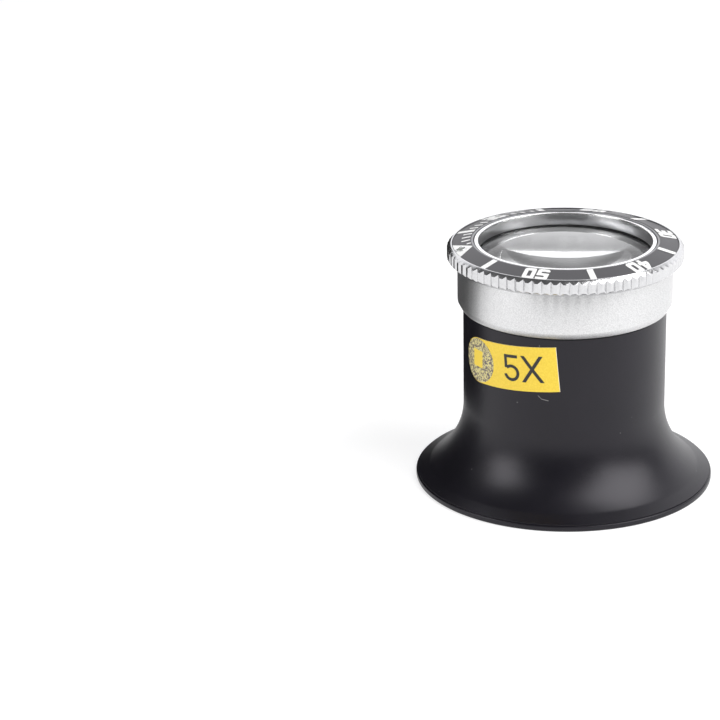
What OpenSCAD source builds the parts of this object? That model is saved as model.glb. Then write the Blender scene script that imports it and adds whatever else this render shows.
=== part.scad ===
// Five-power eye loupe with a turning bezel. The soft-black eye cup stands on its rim at z = 0 and
// the optical axis is Z. A screwed-on lens head carries the lens and a coin-edged bezel that turns
// round it. Labels and bezel markings are thin solids laid on their surfaces.

/* [Eye cup] */
// Outside diameter of the rim bead that rests on the brow
rim_d = 50.8; // [50.6:0.1:51.4]
// Height of the rim bead
rim_h = 1; // [0.9:0.05:1.1]
// Outside diameter of the straight tube
tube_d = 34.34; // [34.2:0.02:34.5]
// Wall thickness of the tube and of the flare
wall = 1.1; // [0.9:0.05:1.2]
// Height at which the flare runs into the straight tube
flare_top = 13.42; // [13.2:0.02:13.6]
// Radius of the flare's hollow curve
flare_r = 13.85; // [13.7:0.05:14]
// Angle that the flare's curve sweeps before it runs straight to the rim
flare_sweep = 56; // [54:1:58]

/* [Side window] */
// Width of the oval window, across the tube
window_w = 23.7; // [20:0.1:25]
// Height of the oval window, along the tube
window_h = 15.4; // [12:0.1:16]
// Height of the window's centre above the rim
window_z = 15.9; // [15:0.1:17]

/* [Lens head] */
// Diameter of the silver collar
collar_d = 36.26; // [36:0.02:36.6]
// Height of the collar's lower edge
collar_low = 30.97; // [30.5:0.01:31.2]
// Height of the collar's top face, under the bezel
collar_high = 38.8; // [38.7:0.05:38.85]
// Height of the sight lip round the lens
head_top = 42.24; // [42.2:0.02:42.3]
// Diameter of the opening in front of the lens
sight_d = 29.3; // [28.8:0.1:29.4]
// Outside diameter of the lens head's screw thread
thread_d = 32.7; // [32.6:0.05:32.8]

/* [Lens] */
// Diameter of the lens
lens_d = 30.6; // [30.4:0.1:30.7]
// Radius of both faces of the lens, for a focus near 50 mm
lens_face_r = 52; // [50:1:60]
// Height of the middle of the front face
lens_front = 42; // [41.9:0.01:42]
// Thickness of the lens at its middle
lens_t = 6.8; // [6.6:0.1:6.8]

/* [Bezel] */
// Diameter over the coin edge
bezel_d = 39.77; // [39.6:0.01:40]
// Number of notches in the coin edge
notches = 80; // [72:4:90]
// Depth of the notches
notch_depth = 0.38; // [0.3:0.02:0.5]
// Outside diameter of the minute insert
insert_od = 38; // [37.9:0.05:38]
// Inside diameter of the minute insert
insert_id = 31.64; // [31.6:0.02:31.7]
// Turn of the bezel's zero mark, anticlockwise from +X
zero_angle = 194.4; // [0:0.1:359.9]

/* [Label] */
// Length of the label round the tube
label_l = 19.5; // [18:0.1:20.5]
// Height of the label
label_h = 7.8; // [7:0.1:8.2]
// Middle of the label, anticlockwise from +X
label_angle = 234.4; // [225:0.1:240]
// Height of the label's middle
label_z = 24.75; // [24:0.05:25.5]
// Tilt of the label on the tube
label_tilt = 4.7; // [0:0.1:6]

/* [Hidden] */
$fn = 96;
eps = 0.02;          // assembly gap between pieces that rest on each other
fit = 0.05;          // radial running clearance

tube_r = tube_d / 2;
bore_r = tube_r - wall;
flare_x = tube_r + flare_r;                         // radius at which the flare's curve is centred
flare_end = 180 + flare_sweep;
flare_out = [flare_x + flare_r * cos(flare_end), flare_top + flare_r * sin(flare_end)];
flare_in = [flare_x + (flare_r + wall) * cos(flare_end), flare_top + (flare_r + wall) * sin(flare_end)];
flare_core = [flare_x + (flare_r + wall / 2) * cos(flare_end - 4),
    flare_top + (flare_r + wall / 2) * sin(flare_end - 4)];
rim_r = rim_d / 2;
rim_flat = [rim_r - 1.2, rim_r - 0.3];              // the flat ring that the loupe stands on
bead_r = 0.3;                                       // lower rounding of the rim bead
bead_top_r = 0.2;                                   // upper rounding of the rim bead
flare_lip = [rim_r - 0.3, rim_h + 0.17];            // end of the flare's cone, above the groove line

thread_r = thread_d / 2;
thread_low = 27.6;                                  // lower end of the lens head's thread
thread_relief = 0.3;                                // how much deeper the eye cup is threaded
lead_in = 0.3;
gasket_t = 0.3;
tube_top = collar_low - gasket_t - 2 * eps;

collar_r = collar_d / 2;
collar_chamfer = [0.55, 1.05];                      // radial and axial size of the lower chamfer
lens_bore_r = lens_d / 2 + 0.2;
lens_stop = head_top - 2.14;                        // underside of the shoulder that stops the lens
sight_r = sight_d / 2;
lip_r = sight_r + 0.63;
journal_r = 16.85;                                  // the bezel turns on this
journal_top = 40.8;
wire_z = 39.9;
wire_groove = [0.6, 0.35];                          // height and depth of the snap wire's grooves
spring_seat = [17, 17.95, 0.35];                    // inner radius, outer radius, depth

cushion_t = 0.18;
ring_low = 35.85;
ring_top = 37.05;
ring_in_r = 13.9;
spanner_slot = [1.2, 0.5];

bezel_r = bezel_d / 2;
bezel_low = 39;
bezel_top = 41.77;                                  // crest outside the insert
crest_r = 19.25;
chamfer_low = 0.6;
flange_r = 15.45;                                   // inner edge of the bezel
flange_low = 40.9;
flange_top = 42.3;
land_angle = 0.75;                                  // half width of the flat between two notches
click_slots = 60;
click_slot = [0.8, 0.5, 0.2];

insert_r = [insert_id / 2, insert_od / 2];
insert_z = [42.35, 41.59];                          // height of the insert's inner and outer edges
insert_t = 0.4;
adhesive_t = 0.1;
skin_gap = 0.01;
insert_slope = atan((insert_z[0] - insert_z[1]) / (insert_r[1] - insert_r[0]));
mark_r = [15.95, 18.9];                             // inner and outer ends of the markings
mark_mid = (mark_r[0] + mark_r[1]) / 2;
mark_t = 0.05;
digit = [2, mark_r[1] - mark_r[0]];
digit_stroke = 0.68;
digit_pitch = 2.25;
pearl_pos_r = 17.9;
pearl_r = 0.75;
pearl_cup_r = 0.95;

paper_t = 0.1;
print_t = 0.03;
seal_angle = label_angle - arc_angle(label_l / 2 - label_h / 2);
figure_angle = label_angle + arc_angle(3.7);
figure_h = 4.6;
figure_stroke = 0.52;

// Angle taken round the tube by a length of arc
function arc_angle(length) = length / tube_r * 180 / PI;

// Height of the insert's face at radius r
function insert_face(r) = insert_z[0] - (r - insert_r[0]) * tan(insert_slope);

// Centre of the first (0) or second (1) digit of a numeral; the narrow 1 of the 10 stands closer in
function digit_x(minute, place) = minute == 10 ? [-0.92, 0.67][place] : (place - 0.5) * digit_pitch;

// World angle of a minute on the bezel, which counts clockwise from above
function minute_angle(minute) = zero_angle - 6 * minute;

module ring(r_in, r_out, low, high) {
    translate([0, 0, low])
        difference() {
            cylinder(r = r_out, h = high - low);
            translate([0, 0, -1]) cylinder(r = r_in, h = high - low + 2);
        }
}

module rounded_rect(size, r) {
    square([size[0] - 2 * r, size[1]], center = true);
    square([size[0], size[1] - 2 * r], center = true);
    for (x = [-1, 1], y = [-1, 1])
        translate([x * (size[0] / 2 - r), y * (size[1] / 2 - r)]) circle(r);
}

// ---- Eye cup ----

module flare_wall() {
    reach = 2 * flare_r;
    intersection() {
        translate([flare_x, flare_top])
            difference() {
                circle(flare_r + wall);
                circle(flare_r);
            }
        translate([flare_x, flare_top])
            polygon([[0, 0], [-reach, 0], for (a = [180 + flare_sweep / 2, flare_end]) reach * [cos(a), sin(a)]]);
    }
}

module rim_bead() {
    polygon([flare_in, [rim_flat[0], 0], [rim_flat[1], 0], [rim_r - bead_r, bead_r], [rim_r, bead_r],
        [rim_r, rim_h - bead_top_r], [rim_r - bead_top_r, rim_h], [flare_lip[0], rim_h], flare_lip, flare_out, flare_core]);
    translate([rim_r - bead_r, bead_r]) circle(bead_r);
    translate([rim_r - bead_top_r, rim_h - bead_top_r]) circle(bead_top_r);
}

module eyecup() {
    color([0.16, 0.16, 0.17])
        difference() {
            rotate_extrude() {
                flare_wall();
                rim_bead();
                polygon([[bore_r, flare_top], [tube_r, flare_top], [tube_r, tube_top], [thread_r + fit, tube_top],
                    [thread_r + fit, thread_low - thread_relief], [bore_r, thread_low - thread_relief]]);
            }
            translate([0, 0, window_z]) rotate([-90, 0, 0])
                scale([window_w / window_h, 1, 1]) cylinder(d = window_h, h = rim_r);
        }
}

// ---- Label on the tube ----

// Looks from outside at a point on the tube: x runs anticlockwise, y up and z outwards
module on_tube(angle) {
    rotate([0, 0, angle]) translate([0, 0, label_z + (angle - label_angle) * tan(label_tilt) / arc_angle(1)])
        rotate([90, 0, 90]) rotate([0, 0, label_tilt]) children();
}

module tube_skin(low, thickness) {
    ring(tube_r + low, tube_r + low + thickness, label_z - label_h, label_z + label_h);
}

module label() {
    flat_end = tube_r * sin(arc_angle(label_l / 2));
    color([0.9, 0.78, 0.27]) {
        intersection() {
            tube_skin(skin_gap, paper_t);
            on_tube(label_angle)
                translate([-tube_r * sin(label_angle - seal_angle), -label_h / 2])
                    cube([flat_end + tube_r * sin(label_angle - seal_angle), label_h, 2 * tube_r]);
        }
        intersection() {
            tube_skin(skin_gap, paper_t);
            on_tube(seal_angle) cylinder(d = label_h, h = 2 * tube_r);
        }
    }
}

module label_seal() {
    color([0.72, 0.68, 0.5])
        intersection() {
            tube_skin(2 * skin_gap + paper_t, print_t);
            on_tube(seal_angle) cylinder(d = label_h - 0.2, h = 2 * tube_r);
        }
}

module figure_five() {
    w = 3;
    bowl_r = 1.45;
    stem_x = 0.3;
    translate([stem_x, figure_h - figure_stroke]) square([w - stem_x - 0.2, figure_stroke]);
    translate([stem_x, figure_h / 2]) square([figure_stroke, figure_h / 2]);
    translate([w - bowl_r, bowl_r])
        difference() {
            circle(bowl_r);
            circle(bowl_r - figure_stroke);
            polygon([[0, 0], 4 * [cos(192), sin(192)], 4 * [-1, 0], 4 * [cos(135), sin(135)]]);
        }
}

module figure_cross() {
    w = 3.9;
    lean = figure_stroke * 1.3;                     // a bar's width, measured level
    notch = figure_h * (w / 2 - lean) / (w - lean);
    polygon([
        [0, 0], [lean, 0], [w / 2, notch], [w - lean, 0], [w, 0], [(w + lean) / 2, figure_h / 2],
        [w, figure_h], [w - lean, figure_h], [w / 2, figure_h - notch], [lean, figure_h], [0, figure_h],
        [(w - lean) / 2, figure_h / 2]
    ]);
}

module label_figure() {
    color([0.12, 0.12, 0.12])
        intersection() {
            tube_skin(2 * skin_gap + paper_t, print_t);
            on_tube(figure_angle) translate([-3.65, -figure_h / 2])
                linear_extrude(2 * tube_r) {
                    figure_five();
                    translate([3.4, 0]) figure_cross();
                }
        }
}

// ---- Lens head ----

module thread_gasket() {
    color([0.1, 0.1, 0.1])
        ring(thread_r + 2 * fit, tube_r - 2 * fit, tube_top + eps, tube_top + eps + gasket_t);
}

module lens_cell() {
    groove_r = journal_r - wire_groove[1];
    color([0.85, 0.85, 0.86])
        rotate_extrude()
            polygon([
                [lens_bore_r, thread_low], [thread_r - lead_in, thread_low], [thread_r, thread_low + lead_in],
                [thread_r, collar_low], [collar_r - collar_chamfer[0], collar_low],
                [collar_r, collar_low + collar_chamfer[1]], [collar_r, collar_high],
                [spring_seat[1], collar_high], [spring_seat[1], collar_high - spring_seat[2]],
                [spring_seat[0], collar_high - spring_seat[2]], [spring_seat[0], collar_high],
                [journal_r, collar_high], [journal_r, wire_z - wire_groove[0] / 2],
                [groove_r, wire_z - wire_groove[0] / 2], [groove_r, wire_z + wire_groove[0] / 2],
                [journal_r, wire_z + wire_groove[0] / 2], [journal_r, journal_top],
                [lip_r, journal_top], [lip_r, head_top], [sight_r, head_top], [sight_r, lens_stop],
                [lens_bore_r, lens_stop]
            ]);
}

module lens() {
    color([0.85, 0.9, 0.93, 0.4])
        intersection() {
            translate([0, 0, lens_front - lens_face_r]) sphere(lens_face_r);
            translate([0, 0, lens_front - lens_t + lens_face_r]) sphere(lens_face_r);
            translate([0, 0, lens_front - lens_t]) cylinder(d = lens_d, h = lens_t);
        }
}

module lens_cushion() {
    color([0.08, 0.08, 0.08])
        ring(sight_r + 0.05, lens_bore_r - fit, lens_stop - cushion_t - eps, lens_stop - eps);
}

module lens_retaining_ring() {
    color([0.2, 0.2, 0.21])
        difference() {
            ring(ring_in_r, lens_bore_r - fit, ring_low, ring_top);
            for (side = [0, 180])
                rotate([0, 0, side]) translate([0, -spanner_slot[0] / 2, ring_low - 1])
                    cube([lens_d, spanner_slot[0], 1 + spanner_slot[1]]);
        }
}

module click_spring() {
    band = [spring_seat[0] + fit, spring_seat[1] - fit];
    leaf_t = 0.15;
    floor_z = collar_high - spring_seat[2] + eps;
    color([0.75, 0.75, 0.78]) {
        ring(band[0], band[1], floor_z, floor_z + leaf_t);
        for (a = [0, 120, 240])
            rotate([0, 0, a]) translate([band[0] + 0.1, -0.2, floor_z])
                cube([band[1] - band[0] - 0.2, 0.4, bezel_low - floor_z - fit]);
    }
}

// ---- Bezel ----

// Outline of the coin edge: a narrow land, then a V-notch, all the way round
module coin_edge() {
    step = 360 / notches;
    polygon([
        for (i = [0:notches - 1])
            for (p = [[-land_angle, bezel_r], [land_angle, bezel_r], [step / 2, bezel_r - notch_depth]])
                p[1] * [cos(i * step + p[0]), sin(i * step + p[0])]
    ]);
}

module bezel_profile() {
    bore = journal_r + fit;
    groove_r = journal_r + wire_groove[1];
    seat = insert_t + adhesive_t + 2 * skin_gap;
    seat_r = insert_r[1] + 0.05;
    polygon([
        [bore, bezel_low], [bezel_r - chamfer_low, bezel_low], [bezel_r, bezel_low + chamfer_low],
        [bezel_r, bezel_top - (bezel_r - crest_r)], [crest_r, bezel_top],
        [seat_r, bezel_top], [seat_r, insert_face(seat_r) - seat],
        [insert_r[0] - eps, insert_face(insert_r[0] - eps) - seat], [insert_r[0] - eps, flange_top],
        [flange_r, flange_top], [flange_r, flange_low], [bore, flange_low],
        [bore, wire_z + wire_groove[0] / 2], [groove_r, wire_z + wire_groove[0] / 2],
        [groove_r, wire_z - wire_groove[0] / 2], [bore, wire_z - wire_groove[0] / 2]
    ]);
}

module bezel_ring() {
    color([0.82, 0.82, 0.83])
        difference() {
            intersection() {
                rotate_extrude() bezel_profile();
                linear_extrude(flange_top + 1) coin_edge();
            }
            for (i = [0:click_slots - 1])
                rotate([0, 0, i * 360 / click_slots])
                    translate([spring_seat[0] + 0.1, -click_slot[1] / 2, bezel_low - 1])
                        cube([click_slot[0], click_slot[1], 1 + click_slot[2]]);
        }
}

module bezel_snap_wire() {
    wire_r = 0.27;
    opening = 30;
    color([0.7, 0.7, 0.72])
        rotate_extrude(angle = 360 - opening)
            translate([journal_r + fit / 2, wire_z]) circle(wire_r, $fn = 24);
}

// A conical skin over the bezel insert, from low to low + thickness above its face
module insert_skin(low, thickness, r_in, r_out) {
    rotate_extrude()
        polygon([
            [r_in, insert_face(r_in) + low], [r_out, insert_face(r_out) + low],
            [r_out, insert_face(r_out) + low + thickness], [r_in, insert_face(r_in) + low + thickness]
        ]);
}

module insert_adhesive() {
    color([0.5, 0.5, 0.5])
        difference() {
            insert_skin(-insert_t - skin_gap - adhesive_t, adhesive_t, insert_r[0] + 0.1, insert_r[1] - 0.1);
            at_pearl() cylinder(r = pearl_cup_r + fit, h = 2, center = true);
        }
}

module bezel_insert() {
    color([0.3, 0.3, 0.31])
        difference() {
            insert_skin(-insert_t, insert_t, insert_r[0], insert_r[1]);
            at_pearl() cylinder(r = pearl_cup_r + eps, h = 2, center = true);
        }
}

module at_pearl() {
    rotate([0, 0, zero_angle]) translate([pearl_pos_r, 0, insert_face(pearl_pos_r)])
        rotate([0, insert_slope, 0]) children();
}

// ---- Bezel markings ----

// Cuts a flat drawing out of the marking skin; y points outwards at the given minute
module marking(minute) {
    intersection() {
        insert_skin(skin_gap, mark_t, mark_r[0], mark_r[1]);
        rotate([0, 0, minute_angle(minute) - 90]) translate([0, mark_mid, bezel_low])
            linear_extrude(2 * (insert_z[0] - bezel_low)) children();
    }
}

module stroke_x(x0, x1, y) {
    translate([x0, y - digit_stroke / 2]) square([x1 - x0, digit_stroke]);
}

module stroke_y(x, y0, y1) {
    translate([x - digit_stroke / 2, y0]) square([digit_stroke, y1 - y0]);
}

// A block 4: its stem starts at x, its crossbar at y, and it reaches up and down to gap_y
module figure_four(x, y, gap_y) {
    bar_top = y + digit_stroke;
    stem_x = x + digit_stroke;
    counter = [0.28, 0.6];
    difference() {
        polygon([[-1, y], [x, y], [x, -gap_y], [stem_x, -gap_y], [stem_x, y], [1, y], [1, bar_top],
            [stem_x, bar_top], [stem_x, gap_y], [x - 0.1, gap_y], [-1, bar_top]]);
        polygon([[x - counter[0], bar_top], [x, bar_top], [x, bar_top + counter[1]]]);
    }
}

// One block digit of size digit, centred, its strokes cut to a round-cornered outline
module block_digit(n) {
    x = digit[0] / 2 - digit_stroke / 2;
    y = digit[1] / 2 - digit_stroke / 2;
    gap_y = digit[1] / 2;
    intersection() {
        rounded_rect(digit, n == 1 ? 0.1 : 0.45);
        union() {
            if (n == 1) {
                stroke_y(0, -gap_y, gap_y);
                stroke_x(-0.75, 0, y);
            } else if (n == 4) {
                figure_four(0, -0.75, gap_y);
            } else {
                stroke_x(-1, 1, y);
                stroke_x(-1, 1, -y);
                if (n != 0) stroke_x(-1 + (n == 3 ? 0.4 : 0), 1, 0);
                if (n == 0 || n == 5) stroke_y(-x, 0, gap_y);
                if (n == 0 || n == 2) stroke_y(-x, -gap_y, 0);
                if (n == 0 || n == 2 || n == 3) stroke_y(x, 0, gap_y);
                if (n == 0 || n == 3 || n == 5) stroke_y(x, -gap_y, 0);
            }
        }
    }
}

module numeral(minute) {
    color([0.93, 0.93, 0.92])
        marking(minute)
            for (place = [0, 1])
                translate([digit_x(minute, place), 0])
                    block_digit(place == 0 ? minute / 10 : 0);
}

module five_minute_bars() {
    bar_w = 1.05;
    color([0.93, 0.93, 0.92])
        for (minute = [5:10:55])
            marking(minute) square([bar_w, 2 * digit[1]], center = true);
}

module minute_ticks() {
    tick = [0.42, 1.5];
    first_tick = 0.7;      // the tick beside the triangle is cut short
    color([0.93, 0.93, 0.92])
        for (minute = [1:14])
            if (minute % 5 != 0)
                marking(minute)
                    difference() {
                        translate([-tick[0] / 2, mark_r[0] - mark_mid - eps])
                            square([tick[0], minute == 1 ? first_tick : tick[1]]);
                        if (minute == 11) space_of_ten();
                    }
}

// What the 0 of the 10 takes from the tick beside it, drawn at that tick's minute
module space_of_ten() {
    translate([0, -mark_mid]) rotate(6) translate([digit_x(10, 1), mark_mid])
        square([digit[0] + 2 * fit, 2 * digit[1]], center = true);
}

module zero_triangle() {
    half_base = 3.3;
    tip = 0.08;
    color([0.93, 0.93, 0.92])
        difference() {
            marking(0)
                polygon([[-tip, -digit[1] / 2], [tip, -digit[1] / 2], [half_base, digit[1] / 2],
                    [half_base, digit[1]], [-half_base, digit[1]], [-half_base, digit[1] / 2]]);
            at_pearl() cylinder(r = pearl_cup_r + eps, h = 2, center = true);
        }
}

module pearl_cup() {
    color([0.8, 0.8, 0.8])
        at_pearl()
            difference() {
                ring(0, pearl_cup_r, -insert_t, 0.2);
                translate([0, 0, -0.25]) cylinder(r = pearl_r + eps, h = 1);
            }
}

module pearl() {
    dome_r = 1;
    dome_high = 0.42;
    color([0.9, 0.93, 0.85])
        at_pearl()
            intersection() {
                translate([0, 0, -0.25 + skin_gap]) cylinder(r = pearl_r, h = 1);
                translate([0, 0, dome_high - dome_r]) sphere(dome_r);
            }
}

eyecup();
label();
label_figure();
label_seal();
thread_gasket();
lens_cell();
lens();
lens_cushion();
lens_retaining_ring();
click_spring();
bezel_ring();
bezel_snap_wire();
insert_adhesive();
bezel_insert();
for (minute = [10:10:50])
    numeral(minute);
five_minute_bars();
minute_ticks();
zero_triangle();
pearl_cup();
pearl();
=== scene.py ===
from math import cos, pi, radians, sin

import bmesh
import bpy
from mathutils import Matrix, Quaternion, Vector


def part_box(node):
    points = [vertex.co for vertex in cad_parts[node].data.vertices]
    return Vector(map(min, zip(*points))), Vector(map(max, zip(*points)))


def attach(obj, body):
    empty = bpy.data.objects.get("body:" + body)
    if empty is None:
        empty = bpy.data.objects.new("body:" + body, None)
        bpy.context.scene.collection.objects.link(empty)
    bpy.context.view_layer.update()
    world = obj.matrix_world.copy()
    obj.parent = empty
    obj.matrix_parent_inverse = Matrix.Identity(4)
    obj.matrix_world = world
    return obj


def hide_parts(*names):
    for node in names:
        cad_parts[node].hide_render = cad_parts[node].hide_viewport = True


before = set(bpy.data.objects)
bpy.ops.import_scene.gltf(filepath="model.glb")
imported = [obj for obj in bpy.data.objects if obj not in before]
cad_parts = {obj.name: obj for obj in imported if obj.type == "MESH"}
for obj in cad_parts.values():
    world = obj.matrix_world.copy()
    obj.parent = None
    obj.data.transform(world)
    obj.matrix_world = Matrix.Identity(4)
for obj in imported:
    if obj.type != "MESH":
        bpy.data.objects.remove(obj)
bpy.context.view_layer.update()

# ---- Studio ----
# A white paper table before a tall bright backdrop, in a dim room, with a soft box at each side. A
# black card behind on the left shows only in gloss. The camera looks down from the front.

MM = 0.001


class Level:
    """A number that varies over a surface. Arithmetic on it adds Math nodes to the shader."""

    def __init__(self, shader, socket):
        self.shader, self.socket = shader, socket

    def math(self, operation, *others):
        return self.shader.node("Math", {"operation": operation}, dict(enumerate((self, *others))))

    def __add__(self, other):
        return self.math("ADD", other)

    def __sub__(self, other):
        return self.math("SUBTRACT", other)

    def __rsub__(self, other):
        return self * -1 + other

    def __mul__(self, other):
        return self.math("MULTIPLY", other)

    def __truediv__(self, other):
        return self.math("DIVIDE", other)

    def __abs__(self):
        return self.math("ABSOLUTE")

    def step(self, low, high):
        """0 below low, 1 above high and smooth between; the other way round if low is the larger."""
        shape = {"interpolation_type": "SMOOTHSTEP"}
        return self.shader.node("MapRange", shape, {0: self, 1: low, 2: high})

    __radd__ = __add__
    __rmul__ = __mul__


class Shader:
    """The nodes of a material or of the room. node() adds any node and gives its output."""

    def __init__(self, owner):
        owner.use_nodes = True
        self.tree = owner.node_tree

    def node(self, kind, settings, sockets, output=0):
        made = self.tree.nodes.new("ShaderNode" + kind)
        for name, value in settings.items():
            setattr(made, name, value)
        for name, value in sockets.items():
            self.feed(made.inputs[name], value)
        return Level(self, made.outputs[output])

    def feed(self, socket, value):
        if isinstance(value, Level):
            self.tree.links.new(value.socket, socket)
        else:
            socket.default_value = value

    def split(self, vector):
        """The x, y and z of a vector."""
        parts = self.node("SeparateXYZ", {}, {0: vector}).socket.node
        return [Level(self, axis) for axis in parts.outputs]


def toward(azimuth, elevation, distance):
    """A point seen from the loupe: azimuth 0 is the front and grows to the right, in degrees."""
    a, e = radians(azimuth), radians(elevation)
    return Vector((sin(a) * cos(e), -cos(a) * cos(e), sin(e))) * distance


def soft_box(name, azimuth, elevation, distance, size, radiance):
    lamp = bpy.data.lights.new(name, "AREA")
    lamp.shape = "RECTANGLE"
    lamp.size, lamp.size_y = size
    lamp.energy = radiance * pi * size[0] * size[1]
    holder = bpy.data.objects.new(name, lamp)
    holder.location = toward(azimuth, elevation, distance)
    holder.rotation_euler = (-holder.location).to_track_quat("-Z", "Y").to_euler()
    bpy.context.scene.collection.objects.link(holder)


def sheet(name, size, colour, glow):
    """A flat square of matt paper or card, laid level, which is not part of the loupe."""
    flat = bmesh.new()
    bmesh.ops.create_grid(flat, x_segments=1, y_segments=1, size=size / 2)
    laid = bpy.data.objects.new(name, bpy.data.meshes.new(name))
    flat.to_mesh(laid.data)
    flat.free()
    paper = bpy.data.materials.new(name)
    laid.data.materials.append(paper)
    paper.use_nodes = True
    surface = paper.node_tree.nodes["Principled BSDF"].inputs
    surface["Base Color"].default_value = (colour, colour, colour, 1)
    surface["Roughness"].default_value = 0.9
    surface["Specular IOR Level"].default_value = 0.1
    surface["Emission Color"].default_value = (1, 1, 1, 1)
    surface["Emission Strength"].default_value = glow
    bpy.context.scene.collection.objects.link(laid)
    return laid


soft_box("left_box", -63, 26, 0.6, (0.30, 0.34), 4.8)
soft_box("right_box", 66, 42, 0.6, (0.56, 0.54), 5.0)

room = bpy.data.worlds.new("studio_room")
room_light = Shader(room)
y, z = room_light.split(room_light.node("TexCoord", {}, {}, "Generated"))[1:]
backdrop = y.step(0.25, 0.62) * z.step(0.98, 0.86)
dim_room, bright_backdrop = 0.12, 1.25
background = room.node_tree.nodes["Background"]
room_light.feed(background.inputs["Color"], (0.98, 0.98, 1.0, 1))
room_light.feed(background.inputs["Strength"], dim_room + backdrop * bright_backdrop)
bpy.context.scene.world = room
bpy.context.scene.view_settings.view_transform = "Standard"

table_size = 8
sheet("paper_table", table_size, 0.50, 0.62)

card_height = 0.05
card_azimuth = -118
card_distance = 0.041
black_card = sheet("black_card", card_height, 0.01, 0)
black_card.location = toward(card_azimuth, 0, card_distance) + Vector((0, 0, card_height / 2))
black_card.rotation_euler = toward(card_azimuth, 0, 1).to_track_quat("Z", "Y").to_euler()
black_card.visible_camera = black_card.visible_diffuse = False
black_card.visible_shadow = black_card.visible_transmission = False

eye = Vector((0, -0.4324, 0.18665))
aim = Vector((-0.03492, 0, 0.02026))
lens_length = 135.4
tilt_of_horizon = radians(-1.08)
camera = bpy.data.objects.new("camera", bpy.data.cameras.new("camera"))
camera.data.lens = lens_length
camera.data.sensor_width = 36
camera.data.clip_start = 0.01
camera.location = eye
camera.rotation_mode = "QUATERNION"
camera.rotation_quaternion = (aim - eye).to_track_quat("-Z", "Y") @ Quaternion((0, 0, 1), tilt_of_horizon)
bpy.context.scene.collection.objects.link(camera)
bpy.context.scene.camera = camera

# ---- Eye cup ----
# One turned aluminium tube with a flared foot and an oval window milled through it. It is bead
# blasted and anodised black, which leaves a very fine grain that holds a little dust.

class Finish(Shader):
    """A material. surface() sets its Principled sockets."""

    def __init__(self, name):
        self.material = bpy.data.materials.new(name)
        super().__init__(self.material)
        self.principled = self.tree.nodes["Principled BSDF"]

    def surface(self, **sockets):
        for name, value in sockets.items():
            self.feed(self.principled.inputs[name.replace("_", " ")], value)

    def place(self):
        """The point on the piece, in metres."""
        return self.node("TexCoord", {}, {}, "Object")

    def millimetres(self, point):
        """The x, y and z of a point, in millimetres."""
        return [level * (1 / MM) for level in self.split(point)]

    def noise(self, point, size, detail=2.0):
        """Cloudy noise about 0.5 whose lumps are size millimetres across."""
        return self.node("TexNoise", {}, {"Vector": point, "Scale": 1 / (size * MM), "Detail": detail})

    def specks(self, point, spacing, share, size):
        """1 inside scattered round specks: spacing and size in millimetres, share of cells that hold one."""
        cells = {"Vector": point, "Scale": 1 / (spacing * MM)}
        near = self.node("TexVoronoi", {}, cells)
        colour = self.node("TexVoronoi", {}, cells, "Color")
        chance = self.node("SeparateColor", {}, {0: colour})
        return near.step(size / spacing, size / spacing / 2) * chance.step(1 - share, 1 - share + 0.01)

    def blend(self, share, first, second):
        """The first colour where share is 0, the second where it is 1."""
        return self.node("Mix", {"data_type": "RGBA"}, {0: share, 6: first, 7: second}, 2)

    def relief(self, height, depth):
        """Normals of a surface whose height runs from 0 to 1 over depth millimetres."""
        return self.node("Bump", {}, {"Distance": depth * MM, "Height": height})

    def on(self, *pieces):
        """Puts the finish on new pieces, or on the drawing's nodes by name."""
        for piece in pieces:
            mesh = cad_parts[piece].data if isinstance(piece, str) else piece.data
            mesh.materials.clear()
            mesh.materials.append(self.material)


def from_axis(x, y):
    """The distance from the loupe's axis."""
    return (x * x + y * y).math("SQRT")


def round_tube(x, y, azimuth):
    """The distance round the tube, in millimetres, from an angle between 180 and 360 degrees."""
    return (y.math("ARCTAN2", x) - radians(azimuth - 360)) * TUBE_R


def arc(centre, radius, start, end, steps):
    """Points along an arc, from start to end degrees."""
    angles = [radians(start + (end - start) * i / steps) for i in range(steps + 1)]
    return [(centre[0] + radius * cos(a), centre[1] + radius * sin(a)) for a in angles]


def turned(outline, steps):
    """A closed outline of (radius, height) points in millimetres, turned round the lens's axis."""
    lathe = bmesh.new()
    corners = [lathe.verts.new((r * MM, 0, z * MM)) for r, z in outline]
    sides = [lathe.edges.new(pair) for pair in zip(corners, corners[1:] + corners[:1])]
    ring = {"cent": (0, 0, 0), "axis": (0, 0, 1), "angle": 2 * pi, "steps": steps, "use_merge": True}
    bmesh.ops.spin(lathe, geom=corners + sides, **ring)
    bmesh.ops.recalc_face_normals(lathe, faces=lathe.faces)
    return lathe


def placed(name, shape):
    """Puts a finished bmesh in the scene as an object, shaded smooth."""
    for face in shape.faces:
        face.smooth = True
    piece = bpy.data.objects.new(name, bpy.data.meshes.new(name))
    shape.to_mesh(piece.data)
    shape.free()
    bpy.context.scene.collection.objects.link(piece)
    return piece


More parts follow.
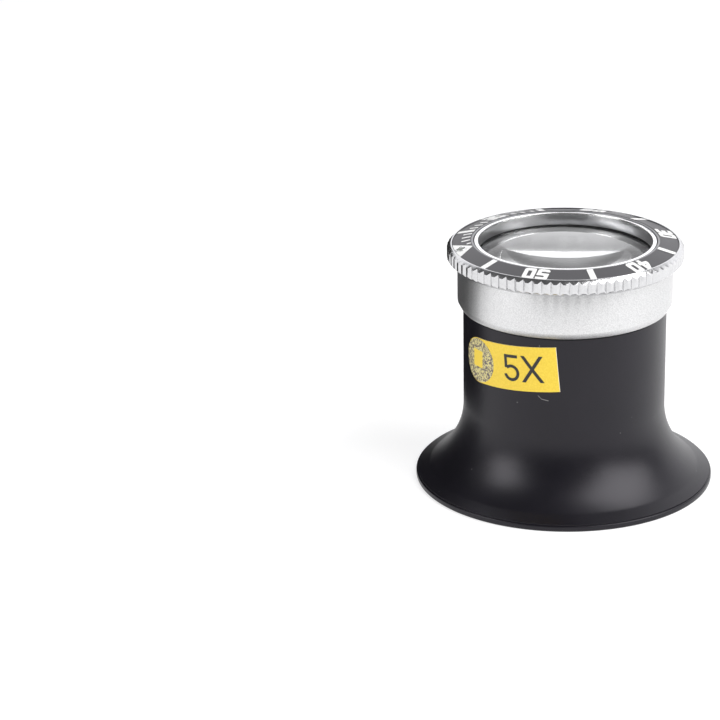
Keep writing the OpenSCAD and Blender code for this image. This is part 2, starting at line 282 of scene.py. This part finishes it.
cup_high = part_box("eyecup")[1]
rim_r, tube_top = cup_high[0] / MM, cup_high[2] / MM
TUBE_R = 17.17
wall = 1.1
bore_r = TUBE_R - wall
thread_bore_r = 16.4
thread_floor = 27.3
flare_top, flare_r, flare_end = 13.42, 13.85, 236
flare_centre = (TUBE_R + flare_r, flare_top)
rim_height, rim_top_round, rim_low_round, rim_flat_r = 1.0, 0.2, 0.3, rim_r - 1.2
groove = 0.17                           # height of the fine groove under the flare's end
flare_lip = (rim_r - 0.3, rim_height + groove)
flare_steps, rim_steps, round_steps = 24, 5, 180
blank = turned(
    [(thread_bore_r, tube_top), (TUBE_R, tube_top)]
    + arc(flare_centre, flare_r, 180, flare_end, flare_steps)
    + [flare_lip, (flare_lip[0], rim_height)]
    + arc((rim_r - rim_top_round, rim_height - rim_top_round), rim_top_round, 90, 0, rim_steps)
    + arc((rim_r - rim_low_round, rim_low_round), rim_low_round, 0, -90, rim_steps)
    + [(rim_flat_r, 0)]
    + arc(flare_centre, flare_r + wall, flare_end, 180, flare_steps)
    + [(bore_r, thread_floor), (thread_bore_r, thread_floor)],
    round_steps,
)
eye_cup = placed("eye_cup", blank)

window_half_w, window_half_h, window_z = 11.85, 7.7, 15.9
milling = bmesh.new()
bmesh.ops.create_cone(milling, cap_ends=True, segments=round_steps, radius1=1, radius2=1, depth=1)
reach = Matrix.Translation((0, rim_r / 2 * MM, window_z * MM)) @ Matrix.Rotation(pi / 2, 4, "X")
size = Matrix.Diagonal((window_half_w * MM, window_half_h * MM, rim_r * MM, 1))
bmesh.ops.transform(milling, matrix=reach @ size, verts=milling.verts)
cutter = placed("window_cutter", milling)
cut = eye_cup.modifiers.new("window", "BOOLEAN")
cut.object = cutter
milled = bmesh.new()
milled.from_object(eye_cup, bpy.context.evaluated_depsgraph_get())
bpy.data.objects.remove(cutter)
eye_cup.modifiers.clear()


def on_window_rim(edge):
    """Whether both ends of an edge lie on the oval where the window breaks through the wall."""
    for vertex in edge.verts:
        across = vertex.co.x / MM / window_half_w
        up = (vertex.co.z / MM - window_z) / window_half_h
        if abs(across ** 2 + up ** 2 - 1) >= 0.01 or vertex.co.y <= 0:
            return False
    return edge.calc_face_angle(0) > radians(40)


rim_edges = [edge for edge in milled.edges if on_window_rim(edge)]
window_edge_radius = 0.14
soft_corner = {"segments": 3, "profile": 0.5, "affect": "EDGES", "material": -1, "clamp_overlap": False}
bmesh.ops.bevel(milled, geom=rim_edges, offset=window_edge_radius * MM, **soft_corner)
for face in milled.faces:
    face.smooth = True
milled.to_mesh(eye_cup.data)
milled.free()
eye_cup.data.set_sharp_from_angle(angle=radians(38))
eye_cup.modifiers.new("even_shading", "WEIGHTED_NORMAL").keep_sharp = True
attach(eye_cup, "eyecup")
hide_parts("eyecup")

black_anodised = Finish("black_anodised")
point = black_anodised.place()
x, y, z = black_anodised.millimetres(point)
grain = black_anodised.noise(point, 0.14)
clouds = black_anodised.noise(point, 6)
dust = black_anodised.specks(point, 1.9, 0.16, 0.10)
scratch_azimuth, scratch_z = 257.7, 20.13     # the bend in a hairline scratch under the label
along = round_tube(x, y, scratch_azimuth)
scratch = abs(z - scratch_z + along * (0.19 + 0.75 * along.step(0.05, -0.05))).step(0.10, 0.03)
scratch = scratch * along.step(-0.65, -0.55) * along.step(1.25, 1.1)
black_anodised.surface(
    Base_Color=black_anodised.blend(
        (dust * 0.7).math("MAXIMUM", scratch * 0.5),
        black_anodised.blend(clouds, (0.003, 0.003, 0.005, 1), (0.007, 0.006, 0.010, 1)),
        (0.35, 0.34, 0.33, 1),
    ),
    Roughness=0.35 + (grain - 0.5) * 0.14 + (clouds - 0.5) * 0.05,
    IOR=1.43,
    Specular_Tint=(0.97, 0.94, 1.0, 1),
    Normal=black_anodised.relief(grain, 0.012),
)
black_anodised.on(eye_cup)

# ---- Label ----
# A yellow film label stuck round the tube, with a printed 5X and a round foil seal at its left
# end. Its cut edges are coloured pale, a painted highlight along the film's edge.

yellow_film = Finish("yellow_film")
point = yellow_film.place()
x, y = yellow_film.millimetres(point)[:2]
fibre = yellow_film.noise(point, 0.25, 4)
label_face_r = TUBE_R + 0.11            # radius of the film's printed face
# Painted highlight: the cut edges of the film are coloured pale.
painted_edge_highlight = from_axis(x, y).step(label_face_r - 0.015, label_face_r - 0.03)
yellow_film.surface(
    Base_Color=yellow_film.blend(
        painted_edge_highlight,
        yellow_film.blend(fibre.step(0.35, 0.7), (0.84, 0.59, 0.040, 1), (0.91, 0.66, 0.060, 1)),
        (0.88, 0.86, 0.78, 1),
    ),
    Roughness=0.38 + (fibre - 0.5) * 0.1,
    Normal=yellow_film.relief(fibre, 0.006),
)
yellow_film.on("label")

seal_foil = Finish("seal_foil")
point = seal_foil.place()
x, y, z = seal_foil.millimetres(point)
flakes = seal_foil.node("TexVoronoi", {}, {"Vector": point, "Scale": 1 / (0.22 * MM)}, "Color")
flake = seal_foil.node("SeparateColor", {}, {0: flakes})
panel_azimuth, panel_z = 214.2, 24.58
panel_half_w, panel_half_h, panel_fade = 1.28, 1.48, 0.04
across = abs(round_tube(x, y, panel_azimuth))
panel = across.step(panel_half_w + panel_fade, panel_half_w - panel_fade)
panel = panel * abs(z - panel_z).step(panel_half_h + panel_fade, panel_half_h - panel_fade)
seal_foil.surface(
    Base_Color=seal_foil.blend(
        panel,
        seal_foil.blend(flake.step(0.35, 0.6), (0.16, 0.13, 0.12, 1), (0.72, 0.64, 0.30, 1)),
        (0.88, 0.64, 0.06, 1),
    ),
    Roughness=0.35 + flake * 0.2,
    Metallic=flake.step(0.7, 0.8) * (1 - panel) * 0.5,
    Normal=seal_foil.relief(flake, 0.01),
)
seal_foil.on("label_seal")

black_ink = Finish("black_ink")
point = black_ink.place()
mottle = black_ink.noise(point, 0.2)
black_ink.surface(
    Base_Color=black_ink.blend(mottle, (0.010, 0.010, 0.010, 1), (0.022, 0.022, 0.022, 1)),
    Roughness=0.4 + mottle * 0.1,
)
black_ink.on("label_figure")

# ---- Gasket ----
# A flat black rubber ring between the top of the tube and the collar of the lens head. The thin
# cushion round the lens is made of the same rubber.

black_rubber = Finish("black_rubber")
point = black_rubber.place()
bloom = black_rubber.noise(point, 0.3, 3)
black_rubber.surface(
    Base_Color=black_rubber.blend(bloom, (0.010, 0.010, 0.010, 1), (0.024, 0.024, 0.024, 1)),
    Roughness=0.6 + bloom * 0.2,
    Normal=black_rubber.relief(bloom, 0.01),
)
black_rubber.on("thread_gasket", "lens_cushion")

# ---- Lens head ----
# The silver head is turned from aluminium bar and screws on the eye cup. Its collar is bead
# blasted. The lip is polished, and the wall round the lens and the thread are left as turned.


def eased(node, body, edge_radius):
    """The node's own shape with its corners eased, as tumbling or a deburring tool leaves them."""
    shape = bmesh.new()
    shape.from_mesh(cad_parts[node].data)
    bmesh.ops.remove_doubles(shape, verts=shape.verts, dist=0.002 * MM)
    bmesh.ops.dissolve_limit(shape, angle_limit=radians(0.5), verts=shape.verts, edges=shape.edges)
    piece = placed(node + "_eased", shape)
    bevel = piece.modifiers.new("eased_corners", "BEVEL")
    bevel.width = edge_radius * MM
    bevel.segments = 3
    bevel.limit_method = "ANGLE"
    bevel.angle_limit = radians(25)
    bevel.harden_normals = True
    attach(piece, body)
    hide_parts(node)
    return piece


head = eased("lens_cell", "lens_head", 0.11)

blasted_aluminium = Finish("blasted_aluminium")
point = blasted_aluminium.place()
x, y, z = blasted_aluminium.millimetres(point)
radius = from_axis(x, y)
blasted = radius.step(16.9, 17.3)
lip = z.step(41.95, 42.05)
pitch, thread_top, spigot_bore = 0.75, 30.8, 15.9
thread = ((z - y.math("ARCTAN2", x) * (pitch / (2 * pi))) / pitch).math("PINGPONG", 0.5)
thread = thread * z.step(thread_top, thread_top - 0.2) * radius.step(spigot_bore, spigot_bore + 0.2)
grain = blasted_aluminium.noise(point, 0.16, 3)
tool_marks = {"W": z, "Scale": 9.0, "Detail": 3.0}
turning = blasted_aluminium.node("TexNoise", {"noise_dimensions": "1D"}, tool_marks)
blasted_aluminium.surface(
    Base_Color=blasted_aluminium.blend(
        lip,
        blasted_aluminium.blend(
            blasted,
            blasted_aluminium.blend(grain, (0.46, 0.46, 0.47, 1), (0.62, 0.62, 0.63, 1)),
            blasted_aluminium.blend(grain.step(0.3, 0.7), (0.57, 0.57, 0.575, 1), (0.77, 0.77, 0.775, 1)),
        ),
        (0.90, 0.90, 0.90, 1),
    ),
    Metallic=1.0,
    Roughness=0.32
    + blasted * (0.05 + (grain - 0.5) * 0.16)
    + (turning - 0.5) * 0.08 * (1 - blasted)
    - lip * 0.14,
    Normal=blasted_aluminium.relief(
        grain * (0.7 + blasted * 0.3) + turning * (1 - blasted) * 0.3 + thread * 16,
        0.022,
    ),
)
blasted_aluminium.on(head)

# ---- Lens ----
# A double-convex glass lens, ground to the same curve on both faces and held against the shoulder
# in the head by a slotted ring.

clear_glass = Finish("clear_glass")
point = clear_glass.place()
smear = clear_glass.noise(point, 7, 3)
clear_glass.surface(
    Base_Color=(0.985, 0.995, 0.99, 1),
    Roughness=smear.step(0.5, 0.8) * 0.02,
    IOR=1.52,
    Transmission_Weight=1.0,
)
clear_glass.on("lens")

retaining_ring = eased("lens_retaining_ring", "lens_head", 0.05)

black_ring = Finish("black_ring")
point = black_ring.place()
grain = black_ring.noise(point, 0.15)
black_ring.surface(
    Base_Color=black_ring.blend(grain, (0.012, 0.012, 0.013, 1), (0.03, 0.03, 0.032, 1)),
    Roughness=0.42 + (grain - 0.5) * 0.15,
    Normal=black_ring.relief(grain, 0.01),
)
black_ring.on(retaining_ring)

# ---- Springs ----
# The click spring lies under the bezel, and the snap wire keeps the bezel on the head. Both are
# bright spring steel.

spring_steel = Finish("spring_steel")
point = spring_steel.place()
drawn = spring_steel.noise(point, 0.2, 3)
spring_steel.surface(
    Base_Color=spring_steel.blend(drawn, (0.50, 0.50, 0.52, 1), (0.62, 0.62, 0.64, 1)),
    Metallic=1.0,
    Roughness=0.22 + drawn * 0.12,
)
spring_steel.on("click_spring", "bezel_snap_wire")

# ---- Bezel ring ----
# Turned steel with eighty V-notches milled in its edge, so that the fingers can turn it. It is
# polished after milling, which leaves the facets bright and hazy. The narrow inner flange is
# rougher, and its dark grey colour is painted shade between the lip and the insert.

bezel = eased("bezel_ring", "bezel", 0.04)

bezel_steel = Finish("bezel_steel")
point = bezel_steel.place()
x, y = bezel_steel.millimetres(point)[:2]
haze = bezel_steel.noise(point, 0.5, 3)
flange_r = 15.9
# Painted shade: the narrow inner flange is coloured dark grey. It is also made rougher.
rough_flange_painted_shade = from_axis(x, y).step(flange_r + 0.05, flange_r - 0.05)
bezel_steel.surface(
    Base_Color=bezel_steel.blend(
        rough_flange_painted_shade,
        bezel_steel.blend(haze, (0.54, 0.54, 0.55, 1), (0.70, 0.70, 0.71, 1)),
        (0.30, 0.30, 0.31, 1),
    ),
    Metallic=1.0,
    Roughness=0.14 + haze * 0.12 + rough_flange_painted_shade * 0.2,
    Normal=bezel_steel.relief(haze, 0.006),
)
bezel_steel.on(bezel)

# ---- Insert ----
# A thin anodised ring, grey and matt, dished like a cone. A film of adhesive holds it in the
# bezel's recess.

grey_insert = Finish("grey_insert")
point = grey_insert.place()
grain = grey_insert.noise(point, 0.12)
grey_insert.surface(
    Base_Color=grey_insert.blend(grain, (0.038, 0.037, 0.042, 1), (0.062, 0.060, 0.066, 1)),
    Roughness=0.44 + (grain - 0.5) * 0.16,
    Normal=grey_insert.relief(grain, 0.010),
)
grey_insert.on("bezel_insert")

adhesive_film = Finish("adhesive_film")
point = adhesive_film.place()
bubbles = adhesive_film.noise(point, 0.6)
adhesive_film.surface(
    Base_Color=adhesive_film.blend(bubbles, (0.30, 0.29, 0.26, 1), (0.42, 0.41, 0.38, 1)),
    Roughness=0.5 + bubbles * 0.2,
)
adhesive_film.on("insert_adhesive")

# ---- Markings ----
# Numerals, bars, ticks and the zero triangle are thick white paint, screen printed on the
# insert, slightly uneven as such paint dries.

white_paint = Finish("white_paint")
point = white_paint.place()
mottle = white_paint.noise(point, 0.18, 3)
white_paint.surface(
    Base_Color=white_paint.blend(mottle.step(0.3, 0.7), (0.74, 0.74, 0.73, 1), (0.95, 0.95, 0.94, 1)),
    Roughness=0.45 + mottle * 0.15,
    Normal=white_paint.relief(mottle, 0.012),
)
white_paint.on("numeral_10", "numeral_20", "numeral_30", "numeral_40", "numeral_50")
white_paint.on("five_minute_bars", "minute_ticks", "zero_triangle")

# ---- Pearl ----
# A small domed glass bead in a polished steel cup, which is pressed through the
# triangle. The bead's dark mottled colour is a painted dark reflection.

cup = eased("pearl_cup", "bezel", 0.05)

polished_steel = Finish("polished_steel")
point = polished_steel.place()
haze = polished_steel.noise(point, 0.3)
polished_steel.surface(
    Base_Color=polished_steel.blend(haze, (0.80, 0.80, 0.81, 1), (0.88, 0.88, 0.88, 1)),
    Metallic=1.0,
    Roughness=0.06 + haze * 0.06,
)
polished_steel.on(cup)

pearl_glass = Finish("pearl_glass")
point = pearl_glass.place()
# Painted reflection: the bead's colour is mottled dark to stand for the dark things it mirrors.
painted_reflection_mottle = pearl_glass.noise(point, 0.4)
pearl_glass.surface(
    Base_Color=pearl_glass.blend(painted_reflection_mottle, (0.06, 0.07, 0.07, 1), (0.40, 0.42, 0.38, 1)),
    Roughness=0.08 + painted_reflection_mottle * 0.04,
    Coat_Weight=1.0,
)
pearl_glass.on("pearl")
